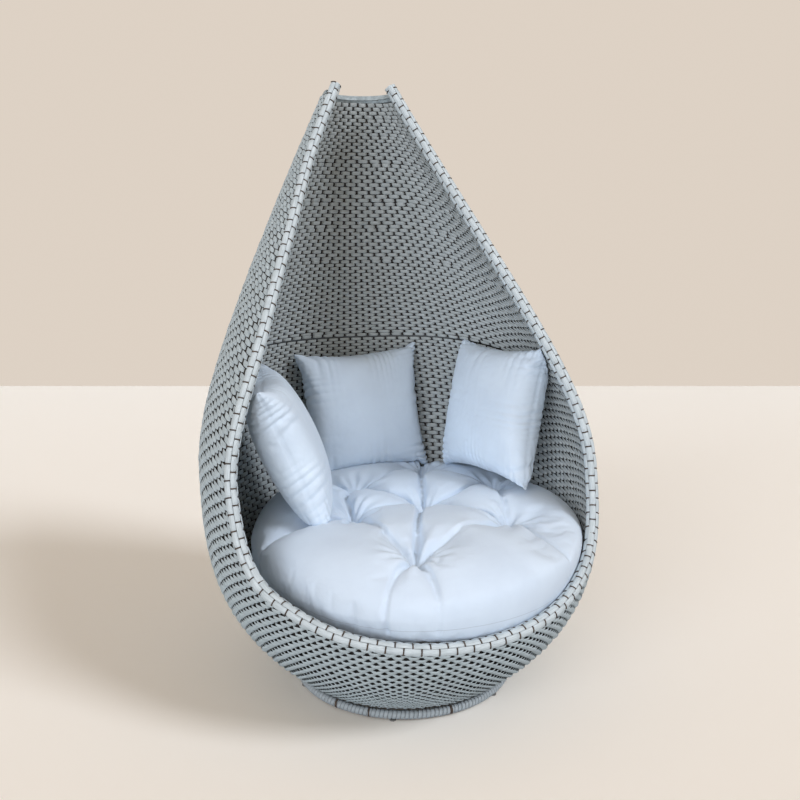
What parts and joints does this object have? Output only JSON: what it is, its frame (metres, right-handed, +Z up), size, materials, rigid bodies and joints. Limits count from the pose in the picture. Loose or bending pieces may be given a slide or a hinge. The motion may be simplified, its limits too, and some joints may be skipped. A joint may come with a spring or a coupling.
{
  "type": "pod chair",
  "caption": "teardrop lounge chair: a woven hooded shell on a floor ring, open at the front, with a round tufted seat cushion and loose square pillows",
  "frame": {"origin": "centre of the bounding box footprint, on the floor", "axes": "+Z up, the open front faces -Y, +X is the right side seen from the front"},
  "size_m": [1.314, 1.3298, 1.985],
  "materials": {
    "weave": "sage grey woven resin strip with fine lengthwise grain",
    "lining": "the same resin strip, darker inside the hood",
    "frame_tube": "grey powder coat",
    "panel": "dark stained plywood",
    "glide_plastic": "moulded, slightly worn",
    "cushion_cloth": "fine plain cotton cloth, tufted",
    "pillow_cloth": "fine plain cotton cloth, softly creased"
  },
  "bodies": {
    "shell": {"outer_weave": "weave", "seat_back_lining": "lining", "hood_lining": "lining", "rim_tube": "frame_tube", "rim_strand_outer": "weave", "rim_strand_edge": "weave", "rim_strand_inner": "weave", "foot_hoop": "frame_tube", "bowl_hoop": "frame_tube", "deck_hoop": "frame_tube", "arm_hoop": "frame_tube", "seam_hoop": "frame_tube", "hood_hoop_lower": "frame_tube", "hood_hoop_upper": "frame_tube", "top_bar": "frame_tube", "rib_01": "frame_tube", "rib_02": "frame_tube", "rib_03": "frame_tube", "rib_04": "frame_tube", "rib_05": "frame_tube", "rib_06": "frame_tube", "rib_07": "frame_tube", "rib_08": "frame_tube", "rib_09": "frame_tube", "rib_10": "frame_tube", "rib_11": "frame_tube", "rib_12": "frame_tube", "top_strand": "weave", "deck_slat_1": "frame_tube", "deck_slat_2": "frame_tube", "deck_slat_3": "frame_tube", "deck_slat_4": "frame_tube", "deck_slat_5": "frame_tube", "seat_panel": "panel", "base_ring": "weave", "foot_stub_1": "frame_tube", "glide_1": "glide_plastic", "foot_stub_2": "frame_tube", "glide_2": "glide_plastic", "foot_stub_3": "frame_tube", "glide_3": "glide_plastic", "foot_stub_4": "frame_tube", "glide_4": "glide_plastic", "foot_stub_5": "frame_tube", "glide_5": "glide_plastic", "foot_stub_6": "frame_tube", "glide_6": "glide_plastic", "seat_cushion": "cushion_cloth"},
    "left_pillow": {"throw_pillow_left": "pillow_cloth"},
    "back_pillow": {"throw_pillow_back": "pillow_cloth"},
    "right_pillow": {"throw_pillow_right": "pillow_cloth"}
  },
  "joints": [
    {"name": "left_pillow_lift", "type": "slide", "parent": "shell", "child": "left_pillow", "axis": [0.1503, -0.9317, 0.3306], "range_m": [0, 1.3]},
    {"name": "back_pillow_lift", "type": "slide", "parent": "shell", "child": "back_pillow", "axis": [0.03, -0.8408, 0.5405], "range_m": [0, 1.15]},
    {"name": "right_pillow_lift", "type": "slide", "parent": "shell", "child": "right_pillow", "axis": [-0.6203, -0.6804, 0.3902], "range_m": [0, 1.3]}
  ]
}
